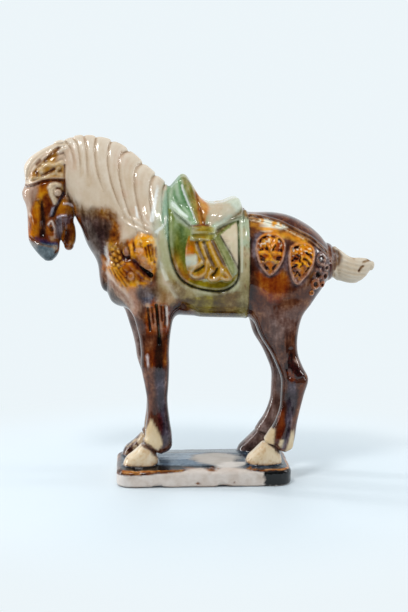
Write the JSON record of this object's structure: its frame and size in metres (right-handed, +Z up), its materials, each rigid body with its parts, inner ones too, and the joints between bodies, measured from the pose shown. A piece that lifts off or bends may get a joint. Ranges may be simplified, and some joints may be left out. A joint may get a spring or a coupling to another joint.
{
  "type": "tomb horse figure",
  "caption": "Glazed earthenware figure of a saddled horse with bowed head, standing on a low rounded plinth, in the style of three-colour tomb wares.",
  "frame": {"origin": "centre of the plinth's flat underside", "axes": "+Z up; the horse faces -X; its left side is towards -Y; the plinth's long side lies along X"},
  "size_m": [0.1993, 0.0558, 0.1958],
  "materials": {
    "tomb_horse": "glossy lead-type glaze on a pale earthenware body: chestnut brown, amber, cream and green on the horse, blue-black on the plinth's top, bare beige clay on the plinth's sides and underside"
  },
  "bodies": {
    "root": {"tomb_horse": "tomb_horse"}
  },
  "joints": []
}
